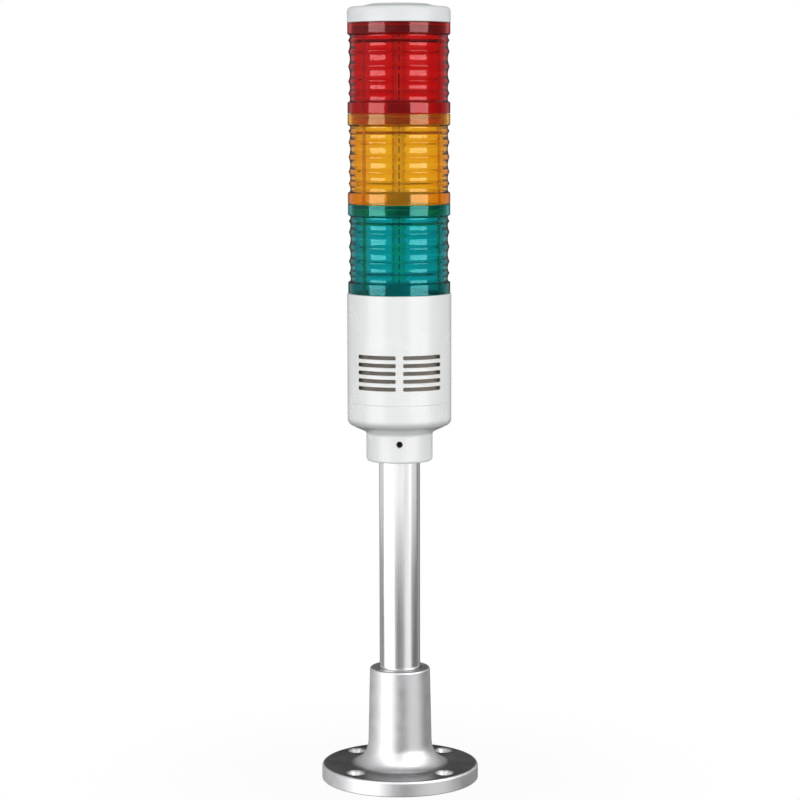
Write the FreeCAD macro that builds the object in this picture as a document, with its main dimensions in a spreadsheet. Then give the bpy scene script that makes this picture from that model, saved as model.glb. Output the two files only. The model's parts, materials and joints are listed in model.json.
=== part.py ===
# Stack light (signal tower): three twist-lock lens tiers on a vented sounder
# housing, carried by a tube in a flanged die-cast foot.
# Millimetres, +Z up, origin at the centre of the underside, front faces -Y.
import FreeCAD, Part
import Sketcher
import math
import os
from FreeCAD import Placement, Rotation, Vector

doc = FreeCAD.newDocument("StackLight")
sheet = doc.addObject("Spreadsheet::Sheet", "Dims")


class Q:
    """A size: its number, and the same thing written as an expression."""

    def __init__(self, value, text):
        self.value = float(value)
        self.text = text

    def __add__(self, other):
        o = as_q(other)
        return Q(self.value + o.value, "(%s + %s)" % (self.text, o.text))

    def __sub__(self, other):
        o = as_q(other)
        return Q(self.value - o.value, "(%s - %s)" % (self.text, o.text))

    def __mul__(self, other):
        o = as_q(other)
        return Q(self.value * o.value, "(%s * %s)" % (self.text, o.text))

    def __truediv__(self, other):
        o = as_q(other)
        return Q(self.value / o.value, "(%s / %s)" % (self.text, o.text))

    def __neg__(self):
        return Q(-self.value, "(0 - %s)" % self.text)


def as_q(x):
    if isinstance(x, Q):
        return x
    if x < 0:
        return Q(x, "(0 - %r)" % abs(float(x)))
    return Q(x, repr(float(x)))


CELLS = [
    # foot
    ("flange_rad", 43.0), ("flange_thk", 8.5), ("recess_rad", 27.0), ("recess_deep", 3.5),
    ("collar_top_z", 62.0), ("collar_top_rad", 16.5), ("collar_foot_rad", 17.6), ("collar_foot_z", 12.7),
    ("flare_rad", 25.4), ("foot_blend", 14.2),
    ("bolt_circle", 68.0), ("bolt_rad", 2.75), ("bolt_sink", 2.7),
    ("gasket_in", 39.7), ("gasket_out", 41.5), ("gasket_thk", 1.5),
    ("set_low_z", 28.0), ("set_high_z", 48.0), ("set_rad", 2.5), ("thread_gap", 0.05),
    # tube and cable bush
    ("pole_rad", 11.1), ("pole_wall", 1.4), ("pole_seat_z", 7.0), ("pole_top_z", 192.0),
    ("pole_gap", 0.1), ("bush_bore", 4.5), ("bush_hole", 8.0),
    # lower housing with its neck
    ("neck_low_z", 176.9), ("neck_rad", 18.0), ("neck_join_z", 192.4), ("shoulder_z", 197.6),
    ("seam_z", 209.4), ("body_rad", 28.2), ("wall", 2.0), ("clamp_z", 187.4), ("clamp_rad", 1.5),
    ("insert_rad", 2.1), ("clamp_hole", 1.8),
    # upper housing
    ("deck_z", 268.0), ("ledge_z", 261.8), ("ledge_rad", 20.5), ("vent_low_z", 218.4), ("vent_step", 4.2),
    ("vent_tall", 2.2), ("vent_near", 2.0), ("vent_far", 21.8), ("screw_circle", 22.0), ("boss_rad", 4.3),
    ("board_z", 246.0), ("board_thk", 1.6), ("board_rad", 25.2), ("post_circle", 22.6), ("post_rad", 3.7),
    ("buzzer_rad", 15.0), ("buzzer_tall", 13.0),
    # tiers
    ("tier_step", 48.22), ("spigot_len", 5.5), ("spigot_rad", 25.8), ("spigot_in", 23.8), ("socket_rad", 26.1),
    ("socket_deep", 5.9), ("lens_in", 24.6), ("lens_rad", 27.6), ("valley_rad", 26.3), ("crest_rad", 27.0), ("seam_gap", 0.15),
    ("lug_rad", 26.7), ("track_rad", 26.85), ("lug_half", 6.0), ("twist", 20.0),
    ("ring_mid", 25.4), ("ring_sec", 0.55), ("groove_rad", 24.8),
    ("hub_wide", 13.0), ("hub_top", 5.2), ("hub_low", 2.8), ("plate_thk", 1.8), ("plate_rad", 23.7),
    ("head_low", 41.5), ("head_top", 45.2), ("strip_wide", 4.4), ("strip_thk", 0.8), ("column_half", 3.0),
    ("lamp_wide", 2.8), ("lamp_tall", 3.5), ("lamp_deep", 1.0), ("rail_mid", 22.7), ("rail_wide", 2.2),
    ("rail_thk", 0.6), ("rail_top", 43.6), ("pin_low", 4.5), ("pin_rad", 0.7),
    # cap
    ("cap_rad", 27.8), ("cap_side", 8.25), ("cap_step", 9.1), ("cap_flat", 10.1), ("cap_top", 10.5), ("step_rad", 18.6), ("dome_rad", 15.6),
]
D = {}
for row, (alias, value) in enumerate(CELLS, 1):
    sheet.set("A%d" % row, alias)
    sheet.set("B%d" % row, repr(value))
    sheet.setAlias("B%d" % row, alias)
    D[alias] = Q(value, "Dims." + alias)
doc.recompute()

NODES = []
C = Sketcher.Constraint
ORIGIN = Vector(0, 0, 0)
UP = Vector(0, 0, 1)


def plane(body, role):
    return [f for f in body.Origin.OriginFeatures if f.Role == role][0]


def new_body(label, z=None):
    body = doc.addObject("PartDesign::Body", label)
    body.Label = label
    if z is not None:
        body.setExpression("Placement.Base.z", as_q(z).text)
    NODES.append(body)
    return body


def new_sketch(body, name, role, lift=None, flip=False):
    sk = body.newObject("Sketcher::SketchObject", body.Label + "_" + name)
    sk.AttachmentSupport = (plane(body, role), [""])
    sk.MapMode = "FlatFace"
    if lift is not None:
        sk.setExpression("AttachmentOffset.Base.z", as_q(lift).text)
    return sk


def bind(sk, index, q):
    sk.setExpression("Constraints[%d]" % index, q.text)


def pin_point(sk, geo, end, x, y):
    """Tie one end of a line or arc to its place from the origin."""
    x, y = as_q(x), as_q(y)
    if x.value == 0:
        sk.addConstraint(C("PointOnObject", geo, end, -2))
    else:
        bind(sk, sk.addConstraint(C("DistanceX", -1, 1, geo, end, x.value)), x)
    if y.value == 0:
        sk.addConstraint(C("PointOnObject", geo, end, -1))
    else:
        bind(sk, sk.addConstraint(C("DistanceY", -1, 1, geo, end, y.value)), y)


def outline(sk, points, domes=()):
    """Closed outline. domes numbers the sides that are arcs centred on the
    vertical axis, each with one end on that axis."""
    pts = [(as_q(a), as_q(b)) for a, b in points]
    n = len(pts)
    first = []
    for i in range(n):
        p, r = pts[i], pts[(i + 1) % n]
        a, b = Vector(p[0].value, p[1].value, 0), Vector(r[0].value, r[1].value, 0)
        if i in domes:
            top, rim = (a, b) if a.x == 0 else (b, a)
            drop = top.y - rim.y
            rad = (rim.x ** 2 + drop ** 2) / (2.0 * drop)
            centre = Vector(0, top.y - rad, 0)
            low = math.atan2(rim.y - centre.y, rim.x)
            g = sk.addGeometry(Part.ArcOfCircle(Part.Circle(centre, UP, rad), low, math.pi / 2), False)
            sk.addConstraint(C("PointOnObject", g, 3, -2))
        else:
            g = sk.addGeometry(Part.LineSegment(a, b), False)
        if (sk.getPoint(g, 1) - a).Length < 1e-6:
            first.append((g, 1, 2))
        else:
            first.append((g, 2, 1))
    for i in range(n):
        g, s, e = first[i]
        h, s2, e2 = first[(i + 1) % n]
        sk.addConstraint(C("Coincident", g, e, h, s2))
    for i in range(n):
        g, s, e = first[i]
        pin_point(sk, g, s, pts[i][0], pts[i][1])


def turned(body, name, points, domes=()):
    sk = new_sketch(body, name + "_outline", "XZ_Plane")
    outline(sk, points, domes)
    rev = body.newObject("PartDesign::Revolution", body.Label + "_" + name)
    rev.Profile = sk
    rev.ReferenceAxis = (sk, ["V_Axis"])
    rev.Angle = 360
    body.Tip = rev
    doc.recompute()
    return rev


def rect(sk, x0, y0, x1, y1):
    """Rectangle tied by its four sides."""
    x0, y0, x1, y1 = as_q(x0), as_q(y0), as_q(x1), as_q(y1)
    c = [(x0, y0), (x1, y0), (x1, y1), (x0, y1)]
    base = sk.GeometryCount
    for i in range(4):
        p, r = c[i], c[(i + 1) % 4]
        sk.addGeometry(Part.LineSegment(Vector(p[0].value, p[1].value, 0), Vector(r[0].value, r[1].value, 0)), False)
    for i in range(4):
        sk.addConstraint(C("Coincident", base + i, 2, base + (i + 1) % 4, 1))
    for i in (0, 2):
        sk.addConstraint(C("Horizontal", base + i))
        sk.addConstraint(C("Vertical", base + i + 1))
    pin_point(sk, base, 1, x0, y0)
    pin_point(sk, base + 2, 1, x1, y1)


def disc(sk, x, y, rad):
    x, y, rad = as_q(x), as_q(y), as_q(rad)
    g = sk.addGeometry(Part.Circle(Vector(x.value, y.value, 0), UP, rad.value), False)
    bind(sk, sk.addConstraint(C("Radius", g, rad.value)), rad)
    if x.value == 0 and y.value == 0:
        sk.addConstraint(C("Coincident", g, 3, -1, 1))
    else:
        pin_point(sk, g, 3, x, y)


def sector(sk, r0, r1, a0, a1):
    """Part of a ring about the origin, from angle a0 to a1 in degrees."""
    r0, r1, a0, a1 = as_q(r0), as_q(r1), as_q(a0), as_q(a1)
    t0, t1 = math.radians(a0.value), math.radians(a1.value)

    def at(r, t):
        return Vector(r * math.cos(t), r * math.sin(t), 0)

    g = sk.GeometryCount
    sk.addGeometry(Part.ArcOfCircle(Part.Circle(ORIGIN, UP, r0.value), t0, t1), False)
    sk.addGeometry(Part.ArcOfCircle(Part.Circle(ORIGIN, UP, r1.value), t0, t1), False)
    sk.addGeometry(Part.LineSegment(at(r0.value, t0), at(r1.value, t0)), False)
    sk.addGeometry(Part.LineSegment(at(r0.value, t1), at(r1.value, t1)), False)
    for c in (C("Coincident", g, 3, -1, 1), C("Coincident", g + 1, 3, -1, 1),
              C("Coincident", g, 1, g + 2, 1), C("Coincident", g + 1, 1, g + 2, 2),
              C("Coincident", g, 2, g + 3, 1), C("Coincident", g + 1, 2, g + 3, 2),
              C("PointOnObject", -1, 1, g + 2), C("PointOnObject", -1, 1, g + 3)):
        sk.addConstraint(c)
    bind(sk, sk.addConstraint(C("Radius", g, r0.value)), r0)
    bind(sk, sk.addConstraint(C("Radius", g + 1, r1.value)), r1)
    sk.setExpression("Constraints[%d]" % sk.addConstraint(C("Angle", g + 2, t0)), "(%s) * 1 deg" % a0.text)
    sk.setExpression("Constraints[%d]" % sk.addConstraint(C("Angle", g + 3, t1)), "(%s) * 1 deg" % a1.text)


def grow(body, name, sk, length, reverse=False):
    before = body.Shape.Volume if body.Tip else 0.0
    pad = body.newObject("PartDesign::Pad", body.Label + "_" + name)
    pad.Profile = sk
    pad.setExpression("Length", as_q(length).text)
    pad.Reversed = reverse
    body.Tip = pad
    doc.recompute()
    if body.Shape.Volume <= before + 1e-6:
        raise RuntimeError("%s %s adds nothing" % (body.Label, name))
    return pad


def cut(body, name, sk, length=None, reverse=False):
    before = body.Shape.Volume
    pocket = body.newObject("PartDesign::Pocket", body.Label + "_" + name)
    pocket.Profile = sk
    if length is None:
        pocket.Type = "ThroughAll"
    else:
        pocket.setExpression("Length", as_q(length).text)
    pocket.Reversed = reverse
    body.Tip = pocket
    doc.recompute()
    if body.Shape.Volume >= before - 1e-6:
        raise RuntimeError("%s %s cuts nothing" % (body.Label, name))
    return pocket


def around(body, name, features, sk, count):
    before = body.Shape.Volume
    pat = body.newObject("PartDesign::PolarPattern", body.Label + "_" + name)
    pat.Originals = features
    pat.Axis = (sk, ["N_Axis"])
    pat.Angle = 360
    pat.Occurrences = count
    body.Tip = pat
    doc.recompute()
    if abs(body.Shape.Volume - before) < 1e-6:
        raise RuntimeError("%s %s changes nothing" % (body.Label, name))
    return pat


def ring_edges(body, wanted):
    """Names of the full circular edges about the axis at (radius, local z)."""
    base = body.Placement.Base.z
    names = []
    shape = body.Tip.Shape
    for rad, z in wanted:
        for i, e in enumerate(shape.Edges, 1):
            if e.Degenerated:
                continue
            c = e.Curve
            if c.TypeId != "Part::GeomCircle":
                continue
            if abs(c.Radius - rad) < 1e-4 and math.hypot(c.Center.x, c.Center.y) < 1e-4 and abs(c.Center.z - z) < 1e-4:
                names.append("Edge%d" % i)
    if len(names) < len(wanted):
        raise RuntimeError("edge not found on " + body.Label)
    return names


def round_edges(body, name, edges, size, kind="Fillet"):
    base = body.Tip
    feat = body.newObject("PartDesign::" + kind, body.Label + "_" + name)
    feat.Base = (base, edges)
    if kind == "Fillet":
        feat.setExpression("Radius", as_q(size).text)
    else:
        feat.setExpression("Size", as_q(size).text)
    body.Tip = feat
    doc.recompute()
    return feat


def prim(kind, name, **sizes):
    obj = doc.addObject(kind, name)
    for key, val in sizes.items():
        if isinstance(val, Q):
            obj.setExpression(key, val.text)
        else:
            setattr(obj, key, val)
    return obj


def put(obj, x=0, y=0, z=0):
    for key, val in (("x", x), ("y", y), ("z", z)):
        obj.setExpression("Placement.Base." + key, as_q(val).text)
    return obj


def block(name, x, y, z, wide, deep, tall):
    """Box centred on x, y and standing on z."""
    wide, deep = as_q(wide), as_q(deep)
    b = prim("Part::Box", name, Length=wide, Width=deep, Height=as_q(tall))
    return put(b, as_q(x) - wide / 2, as_q(y) - deep / 2, z)


def rod(name, x, y, z, rad, tall):
    return put(prim("Part::Cylinder", name, Radius=as_q(rad), Height=as_q(tall)), x, y, z)


def keep(obj, label):
    obj.Label = label
    NODES.append(obj)
    return obj


def group(label, parts):
    g = doc.addObject("Part::Compound", label)
    g.Links = parts
    return keep(g, label)


def socket_screw(name, rad, tall, hexagon, deep):
    """Headless screw along +Z, its hexagon socket in the upper end."""
    stem = prim("Part::Cylinder", name + "_stem", Radius=as_q(rad), Height=as_q(tall))
    hexa = prim("Part::Prism", name + "_hex", Polygon=6, Circumradius=as_q(hexagon), Height=as_q(deep) + 0.5)
    put(hexa, 0, 0, as_q(tall) - deep)
    s = doc.addObject("Part::Cut", name)
    s.Base, s.Tool = stem, hexa
    return s


def pan_screw(name, rad, tall, head_rad, head_tall, cross):
    """Screw whose head sits on z = 0 and whose shank points down."""
    shank = put(prim("Part::Cylinder", name + "_shank", Radius=as_q(rad), Height=as_q(tall)), 0, 0, -as_q(tall))
    head = prim("Part::Cylinder", name + "_head", Radius=as_q(head_rad), Height=as_q(head_tall))
    both = doc.addObject("Part::Fuse", name + "_blank")
    both.Base, both.Tool = shank, head
    a = block(name + "_slot_a", 0, 0, as_q(head_tall) * 0.4, as_q(cross), as_q(cross) * 0.22, head_tall)
    b = block(name + "_slot_b", 0, 0, as_q(head_tall) * 0.4, as_q(cross) * 0.22, as_q(cross), head_tall)
    slots = doc.addObject("Part::Fuse", name + "_slots")
    slots.Base, slots.Tool = a, b
    s = doc.addObject("Part::Cut", name)
    s.Base, s.Tool = both, slots
    return s


# ---------------------------------------------------------------- foot
foot = new_body("base_flange")
turned(foot, "casting", [
    (D["bush_hole"], D["recess_deep"]),
    (D["recess_rad"], D["recess_deep"]),
    (D["recess_rad"], 0),
    (D["gasket_in"] - 0.1, 0),
    (D["gasket_in"] - 0.1, D["gasket_thk"]),
    (D["gasket_out"] + 0.1, D["gasket_thk"]),
    (D["gasket_out"] + 0.1, 0),
    (D["flange_rad"], 0),
    (D["flange_rad"], D["flange_thk"]),
    (D["flare_rad"], D["flange_thk"]),
    (D["collar_foot_rad"], D["collar_foot_z"]),
    (D["collar_top_rad"], D["collar_top_z"]),
    (D["pole_rad"] + D["pole_gap"], D["collar_top_z"]),
    (D["pole_rad"] + D["pole_gap"], D["pole_seat_z"]),
    (D["bush_hole"], D["pole_seat_z"]),
])
round_edges(foot, "foot_blend", ring_edges(foot, [(17.6, 12.7)]), D["foot_blend"])
round_edges(foot, "flare_blend", ring_edges(foot, [(25.4, 8.5)]), 2.5)
round_edges(foot, "rim_blend", ring_edges(foot, [(43.0, 8.5)]), 1.8)
round_edges(foot, "collar_blend", ring_edges(foot, [(16.5, 62.0)]), 1.2)
round_edges(foot, "mouth_break", ring_edges(foot, [(11.2, 62.0)]), 0.5, "Chamfer")
round_edges(foot, "under_break", ring_edges(foot, [(43.0, 0.0)]), 0.4, "Chamfer")
sk = new_sketch(foot, "bolt_holes", "XY_Plane", D["flange_thk"])
step = D["bolt_circle"] * (0.5 * math.sqrt(0.5))
for sx, sy in ((1, 1), (-1, 1), (-1, -1), (1, -1)):
    disc(sk, step * sx, step * sy, D["bolt_rad"])
cut(foot, "bolt_cut", sk)
names = []
for i, e in enumerate(foot.Tip.Shape.Edges, 1):
    if e.Curve.TypeId == "Part::GeomCircle" and abs(e.Curve.Radius - 2.75) < 1e-4 and abs(e.Curve.Center.z - 8.5) < 1e-4:
        names.append("Edge%d" % i)
round_edges(foot, "countersinks", names, D["bolt_sink"], "Chamfer")
sk = new_sketch(foot, "set_holes", "XZ_Plane")
disc(sk, 0, D["set_low_z"], D["set_rad"] + D["thread_gap"])
disc(sk, 0, D["set_high_z"], D["set_rad"] + D["thread_gap"])
cut(foot, "set_cut", sk, 25)

gasket = new_body("base_gasket")
turned(gasket, "ring", [
    (D["gasket_in"], 0), (D["gasket_out"], 0), (D["gasket_out"], D["gasket_thk"]), (D["gasket_in"], D["gasket_thk"]),
])

bush = new_body("cable_grommet")
turned(bush, "ring", [
    (D["bush_bore"], D["recess_deep"] - 1.5),
    (D["bush_hole"] + 1.6, D["recess_deep"] - 1.5),
    (D["bush_hole"] + 1.6, D["recess_deep"]),
    (D["bush_hole"] - 0.05, D["recess_deep"]),
    (D["bush_hole"] - 0.05, D["pole_seat_z"]),
    (D["bush_hole"] + 1.4, D["pole_seat_z"]),
    (D["bush_hole"] + 1.4, D["pole_seat_z"] + 1.4),
    (D["bush_bore"], D["pole_seat_z"] + 1.4),
])

tube = new_body("pole_tube")
turned(tube, "wall", [
    (D["pole_rad"] - D["pole_wall"], D["pole_seat_z"]),
    (D["pole_rad"], D["pole_seat_z"]),
    (D["pole_rad"], D["pole_top_z"]),
    (D["pole_rad"] - D["pole_wall"], D["pole_top_z"]),
])
round_edges(tube, "end_break", ring_edges(tube, [(11.1, 7.0), (11.1, 192.0)]), 0.3, "Chamfer")

parts = []
for tag, z in (("low", D["set_low_z"]), ("high", D["set_high_z"])):
    s = socket_screw("base_set_" + tag, D["set_rad"], 5.0, 1.44, 2.5)
    s.Placement = Placement(Vector(0, 11.5, z.value), Rotation(Vector(1, 0, 0), -90))
    s.setExpression("Placement.Base.z", z.text)
    parts.append(s)
group("base_set_screws", parts)

# ---------------------------------------------------------------- lower housing
low = new_body("lower_housing")
bore = D["pole_rad"] + 0.15
turned(low, "shell", [
    (bore, D["neck_low_z"]),
    (D["neck_rad"], D["neck_low_z"]),
    (D["neck_rad"], D["neck_join_z"]),
    (D["body_rad"], D["shoulder_z"]),
    (D["body_rad"], D["seam_z"]),
    (D["body_rad"] - 0.7, D["seam_z"]),
    (D["body_rad"] - 0.7, D["seam_z"] - 0.8),
    (D["body_rad"] - 1.5, D["seam_z"] - 0.8),
    (D["body_rad"] - 1.5, D["seam_z"]),
    (D["body_rad"] - D["wall"], D["seam_z"]),
    (D["body_rad"] - D["wall"], D["shoulder_z"] + 1.3),
    (D["neck_rad"] - D["wall"], D["neck_join_z"] + 1.6),
    (D["neck_rad"] - D["wall"], D["neck_low_z"] + D["wall"]),
    (bore + D["wall"], D["neck_low_z"] + D["wall"]),
    (bore + D["wall"], D["pole_top_z"] + 2.0),
    (D["pole_rad"] - D["pole_wall"] + 0.2, D["pole_top_z"] + 2.0),
    (D["pole_rad"] - D["pole_wall"] + 0.2, D["pole_top_z"] + 0.3),
    (bore, D["pole_top_z"] + 0.3),
])
round_edges(low, "shoulder_blend", ring_edges(low, [(28.2, 197.6)]), 3.6)
round_edges(low, "neck_blend", ring_edges(low, [(18.0, 192.4)]), 2.0)
round_edges(low, "neck_end_blend", ring_edges(low, [(18.0, 176.9)]), 1.5)
round_edges(low, "seam_break", ring_edges(low, [(28.2, 209.4)]), 0.25, "Chamfer")
sk = new_sketch(low, "rib_plan", "XY_Plane", D["neck_low_z"] + 1.0)
rect(sk, -0.75, bore + 1.0, 0.75, D["neck_rad"] - 1.0)
rib = grow(low, "rib", sk, 13.0)
around(low, "ribs", [rib], sk, 6)
sk = new_sketch(low, "clamp_block_face", "XZ_Plane", 12.0)
rect(sk, -4.2, D["clamp_z"] - 4.5, 4.2, D["clamp_z"] + 4.5)
grow(low, "clamp_block", sk, 5.0)
sk = new_sketch(low, "clamp_hole_face", "XZ_Plane")
disc(sk, 0, D["clamp_z"], D["clamp_hole"])
cut(low, "clamp_hole", sk, 25, True)
sk = new_sketch(low, "insert_hole_face", "XZ_Plane")
disc(sk, 0, D["clamp_z"], D["insert_rad"] + D["thread_gap"])
cut(low, "insert_hole", sk, 15.9, True)
SCREW_AT = (90.0, 200.0, 340.0)
sk = new_sketch(low, "boss_plan", "XY_Plane", D["shoulder_z"] - 0.4)
for deg in SCREW_AT:
    disc(sk, D["screw_circle"] * math.cos(math.radians(deg)), D["screw_circle"] * math.sin(math.radians(deg)), D["boss_rad"])
grow(low, "bosses", sk, D["seam_z"] - D["shoulder_z"] + 0.4)
sk = new_sketch(low, "boss_sink_plan", "XY_Plane", D["seam_z"] - 5.4)
for deg in SCREW_AT:
    disc(sk, D["screw_circle"] * math.cos(math.radians(deg)), D["screw_circle"] * math.sin(math.radians(deg)), 3.1)
cut(low, "boss_sinks", sk, 12.0)
sk = new_sketch(low, "boss_hole_plan", "XY_Plane", D["seam_z"])
for deg in SCREW_AT:
    disc(sk, D["screw_circle"] * math.cos(math.radians(deg)), D["screw_circle"] * math.sin(math.radians(deg)), 1.7)
cut(low, "boss_holes", sk, 12.0)

insert = new_body("neck_thread_insert")
sk = new_sketch(insert, "ring_face", "XZ_Plane", 11.4)
disc(sk, 0, D["clamp_z"], D["insert_rad"])
disc(sk, 0, D["clamp_z"], D["clamp_rad"] + D["thread_gap"])
grow(insert, "ring", sk, 4.4)

clamp = socket_screw("clamp_blank", D["clamp_rad"], 4.4, 0.87, 1.8)
clamp.Placement = Placement(Vector(0, -11.2, D["clamp_z"].value), Rotation(Vector(1, 0, 0), 90))
clamp.setExpression("Placement.Base.z", D["clamp_z"].text)
keep(clamp, "pole_clamp_screw")

seal = new_body("housing_seal")
turned(seal, "ring", [
    (D["body_rad"] - 1.45, D["seam_z"] - 0.8), (D["body_rad"] - 0.75, D["seam_z"] - 0.8),
    (D["body_rad"] - 0.75, D["seam_z"]), (D["body_rad"] - 1.45, D["seam_z"]),
])

# ---------------------------------------------------------------- upper housing
def bayonet_tracks(body, rim):
    """Three L-shaped tracks inside a socket whose rim is at local z rim:
    straight in from the rim, then a turn of the twist angle."""
    sk = new_sketch(body, "track_plan", "XY_Plane", as_q(rim) - 2.9)
    sector(sk, D["socket_rad"] - 0.4, D["track_rad"], -(D["lug_half"] + 1.0), D["twist"] + D["lug_half"] + 1.0)
    a = cut(body, "track", sk, 2.0)
    around(body, "tracks", [a], sk, 3)
    sk2 = new_sketch(body, "entry_plan", "XY_Plane", as_q(rim))
    sector(sk2, D["socket_rad"] - 0.4, D["track_rad"], D["twist"] - D["lug_half"] - 1.0, D["twist"] + D["lug_half"] + 1.0)
    b = cut(body, "entry", sk2, 4.9)
    around(body, "entries", [b], sk2, 3)


def bayonet_lugs(body):
    sk = new_sketch(body, "lug_plan", "XY_Plane", -4.7)
    sector(sk, D["spigot_rad"] - 0.5, D["lug_rad"], -D["lug_half"], D["lug_half"])
    a = grow(body, "lug", sk, 1.6)
    around(body, "lugs", [a], sk, 3)


up = new_body("upper_housing")
turned(up, "shell", [
    (D["body_rad"] - D["wall"], D["seam_z"]),
    (D["body_rad"], D["seam_z"]),
    (D["body_rad"], D["deck_z"]),
    (D["socket_rad"], D["deck_z"]),
    (D["socket_rad"], D["ledge_z"]),
    (D["ledge_rad"], D["ledge_z"]),
    (D["ledge_rad"], D["ledge_z"] - D["wall"]),
    (D["body_rad"] - D["wall"], D["ledge_z"] - D["wall"]),
])
round_edges(up, "seam_break", ring_edges(up, [(28.2, 209.4), (28.2, 268.0)]), 0.25, "Chamfer")
sk = new_sketch(up, "boss_plan", "XY_Plane", D["seam_z"])
for deg in SCREW_AT:
    disc(sk, D["screw_circle"] * math.cos(math.radians(deg)), D["screw_circle"] * math.sin(math.radians(deg)), D["boss_rad"])
grow(up, "bosses", sk, 12.6)
sk = new_sketch(up, "boss_pilot_plan", "XY_Plane", D["seam_z"])
for deg in SCREW_AT:
    disc(sk, D["screw_circle"] * math.cos(math.radians(deg)), D["screw_circle"] * math.sin(math.radians(deg)), 1.35)
cut(up, "boss_pilots", sk, 10.5, True)
POST_AT = (30.0, 150.0, 270.0)
sk = new_sketch(up, "post_plan", "XY_Plane", D["board_z"] - 7.5)
for deg in POST_AT:
    disc(sk, D["post_circle"] * math.cos(math.radians(deg)), D["post_circle"] * math.sin(math.radians(deg)), D["post_rad"])
grow(up, "posts", sk, 7.5)
sk = new_sketch(up, "post_pilot_plan", "XY_Plane", D["board_z"])
for deg in POST_AT:
    disc(sk, D["post_circle"] * math.cos(math.radians(deg)), D["post_circle"] * math.sin(math.radians(deg)), 1.25)
cut(up, "post_pilots", sk, 7.0)
# vents: five rows, two columns, cut straight through the front wall
sk = new_sketch(up, "vent_face", "XZ_Plane", 13.0)
for sx in (1, -1):
    near, far = D["vent_near"] * sx, D["vent_far"] * sx
    lo, hi = (near, far) if sx > 0 else (far, near)
    rect(sk, lo, D["vent_low_z"] - D["vent_tall"] / 2, hi, D["vent_low_z"] + D["vent_tall"] / 2)
vent = cut(up, "vent_row", sk, 20.0, True)
before = up.Shape.Volume
rows = up.newObject("PartDesign::LinearPattern", "upper_housing_vent_rows")
rows.Originals = [vent]
rows.Direction = (sk, ["V_Axis"])
rows.setExpression("Length", (D["vent_step"] * 4).text)
rows.Occurrences = 5
up.Tip = rows
doc.recompute()
if up.Shape.Volume > before - 1.0:
    raise RuntimeError("vent rows cut nothing")
names = []
for i, e in enumerate(up.Tip.Shape.Edges, 1):
    if e.Curve.TypeId != "Part::GeomLine":
        continue
    d = e.tangentAt(e.FirstParameter)
    p = e.CenterOfMass
    if abs(abs(d.y) - 1) < 1e-4 and p.y < -13.0 and 216 < p.z < 238:
        names.append("Edge%d" % i)
if len(names) != 40:
    raise RuntimeError("vent corners: %d" % len(names))
round_edges(up, "vent_corners", names, 0.6)
bayonet_tracks(up, D["deck_z"])

parts = []
for k, deg in enumerate(SCREW_AT):
    s = pan_screw("case_screw_%d" % k, 1.3, 13.5, 2.7, 1.8, 2.8)
    x, y = 22.0 * math.cos(math.radians(deg)), 22.0 * math.sin(math.radians(deg))
    s.Placement = Placement(Vector(x, y, 204.0), Rotation(Vector(1, 0, 0), 180))
    s.setExpression("Placement.Base.z", (D["seam_z"] - 5.4).text)
    parts.append(s)
group("housing_screws", parts)

screen = new_body("vent_screen")
sk = new_sketch(screen, "plan", "XY_Plane", 213.5)
sector(sk, 25.2, 25.7, 208.6, 331.4)
grow(screen, "sheet", sk, 24.0)

board = new_body("control_pcb")
sk = new_sketch(board, "plan", "XY_Plane", D["board_z"])
disc(sk, 0, 0, D["board_rad"])
for deg in POST_AT:
    disc(sk, D["post_circle"] * math.cos(math.radians(deg)), D["post_circle"] * math.sin(math.radians(deg)), 1.5)
grow(board, "plate", sk, D["board_thk"])
parts = []
for k, deg in enumerate(POST_AT):
    s = pan_screw("board_screw_%d" % k, 1.2, 7.5, 2.2, 1.5, 2.2)
    x, y = 22.6 * math.cos(math.radians(deg)), 22.6 * math.sin(math.radians(deg))
    s.Placement = Placement(Vector(x, y, 247.6), Rotation())
    s.setExpression("Placement.Base.z", (D["board_z"] + D["board_thk"]).text)
    parts.append(s)
group("pcb_screws", parts)

buzzer = new_body("buzzer_case")
low_z = D["board_z"] - D["buzzer_tall"]
turned(buzzer, "cup", [
    (3.0, low_z),
    (D["buzzer_rad"], low_z),
    (D["buzzer_rad"], D["board_z"]),
    (D["buzzer_rad"] - 1.2, D["board_z"]),
    (D["buzzer_rad"] - 1.2, low_z + 3.4),
    (D["buzzer_rad"] - 2.6, low_z + 3.4),
    (D["buzzer_rad"] - 2.6, low_z + 1.4),
    (3.0, low_z + 1.4),
])
dia = rod("diaphragm_disc", 0, 0, low_z + 3.4, D["buzzer_rad"] - 1.3, 0.4)
keep(dia, "buzzer_diaphragm")

term = new_body("terminal_block")
sk = new_sketch(term, "plan", "XY_Plane", D["board_z"] - 10.0)
rect(sk, -8.0, 15.8, 8.0, 22.4)
grow(term, "block", sk, 10.0)
sk = new_sketch(term, "mouths_face", "XZ_Plane", -22.4)
for x in (-6.0, -2.0, 2.0, 6.0):
    disc(sk, x, D["board_z"] - 4.5, 1.2)
cut(term, "mouths", sk, 4.5, True)
sk = new_sketch(term, "wells_plan", "XY_Plane", D["board_z"] - 10.0)
for x in (-6.0, -2.0, 2.0, 6.0):
    disc(sk, x, 18.2, 1.35)
cut(term, "wells", sk, 4.0, True)
parts = []
for k, x in enumerate((-6.0, -2.0, 2.0, 6.0)):
    s = socket_screw("terminal_screw_%d" % k, 1.3, 3.0, 0.75, 1.0)
    s.Placement = Placement(Vector(x, 18.2, 239.6), Rotation(Vector(1, 0, 0), 180))
    s.setExpression("Placement.Base.z", (D["board_z"] - 6.1).text)
    parts.append(s)
group("terminal_screws", parts)

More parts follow.
